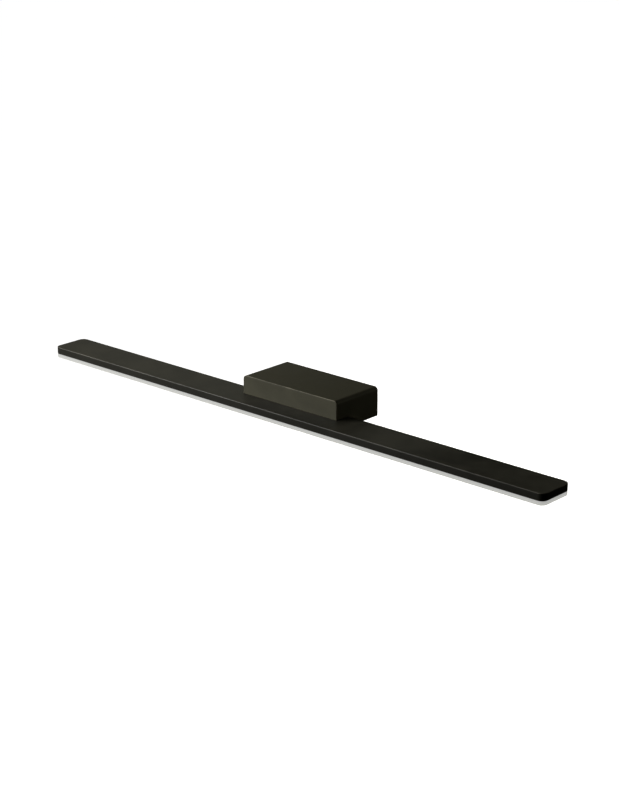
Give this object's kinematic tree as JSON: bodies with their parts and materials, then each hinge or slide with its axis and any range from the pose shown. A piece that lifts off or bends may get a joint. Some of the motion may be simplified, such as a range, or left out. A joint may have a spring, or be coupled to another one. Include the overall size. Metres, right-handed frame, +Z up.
{
  "type": "vanity light bar",
  "caption": "Slim black wall light for a mirror: a long flat metal bar with an opal diffuser below, held by a stepped wall canopy that covers the bracket and driver.",
  "frame": {"origin": "on the back face of the wall bracket, in the wall plane, in the middle of the light's length and of the canopy's height", "axes": "+X to the right along the bar, +Y into the wall, +Z up"},
  "size_m": [0.8, 0.105, 0.0395],
  "materials": {
    "black_paint": "satin black powder coat, slightly warm",
    "opal_acrylic": "frosted opal acrylic",
    "zinc_steel": "zinc plated",
    "black_rubber": "matt",
    "white_plastic": "moulded",
    "natural_nylon": "moulded",
    "circuit_board": "green solder mask",
    "white_board": "white solder mask on an aluminium core",
    "thermal_pad": "matt silicone",
    "ferrite": "dark sintered",
    "capacitor_sleeve": "shrink sleeve",
    "brass": "plain",
    "brown_lead": "PVC insulation",
    "blue_lead": "PVC insulation",
    "earth_lead": "PVC insulation",
    "red_lead": "PVC insulation",
    "black_lead": "PVC insulation"
  },
  "bodies": {
    "wall_bracket": {"bracket_plate": "zinc_steel", "bracket_earth_screw": "zinc_steel", "bracket_earth_washer": "zinc_steel", "cable_grommet": "black_rubber"},
    "lamp": {"canopy_shell": "black_paint", "wall_seal": "black_rubber", "lock_nut_left": "zinc_steel", "lock_nut_right": "zinc_steel", "bar_housing": "black_paint", "diffuser": "opal_acrylic", "led_board_left": "white_board", "led_board_right": "white_board", "thermal_pad_left": "thermal_pad", "thermal_pad_right": "thermal_pad", "board_connector": "white_plastic", "board_jumper": "white_plastic", "bar_clamp_strip": "zinc_steel", "bar_screw_1": "zinc_steel", "bar_screw_2": "zinc_steel", "bar_screw_3": "zinc_steel", "bar_screw_4": "zinc_steel", "bar_washer_2": "zinc_steel", "bar_washer_3": "zinc_steel", "bar_washer_4": "zinc_steel", "earth_ring": "zinc_steel", "lead_grommet": "black_rubber", "terminal_block": "natural_nylon", "terminal_block_fixing_screw": "zinc_steel", "terminal_screw_earth_supply": "brass", "terminal_screw_earth_load": "brass", "terminal_screw_neutral_supply": "brass", "terminal_screw_neutral_load": "brass", "terminal_screw_live_supply": "brass", "terminal_screw_live_load": "brass", "driver_tray": "white_plastic", "driver_lid": "white_plastic", "driver_board": "circuit_board", "driver_transformer": "ferrite", "driver_choke": "ferrite", "driver_input_capacitor": "capacitor_sleeve", "driver_output_capacitor": "capacitor_sleeve", "driver_rectifier": "ferrite", "driver_left_fixing_screw": "zinc_steel", "driver_right_fixing_screw": "zinc_steel", "mains_lead_live": "brown_lead", "mains_lead_neutral": "blue_lead", "earth_lead": "earth_lead", "output_lead_positive": "red_lead", "output_lead_negative": "black_lead"},
    "lock_screw_left": {"lock_screw_left": "zinc_steel"},
    "lock_screw_right": {"lock_screw_right": "zinc_steel"}
  },
  "joints": [
    {"name": "lamp_pull_off", "type": "slide", "parent": "wall_bracket", "child": "lamp", "axis": [0, -1, 0], "range_m": [0, 0.06]},
    {"name": "lock_screw_left_back_out", "type": "slide", "parent": "lamp", "child": "lock_screw_left", "axis": [0, 0, -1], "range_m": [0, 0.004]},
    {"name": "lock_screw_right_back_out", "type": "slide", "parent": "lamp", "child": "lock_screw_right", "axis": [0, 0, -1], "range_m": [0, 0.004]}
  ]
}
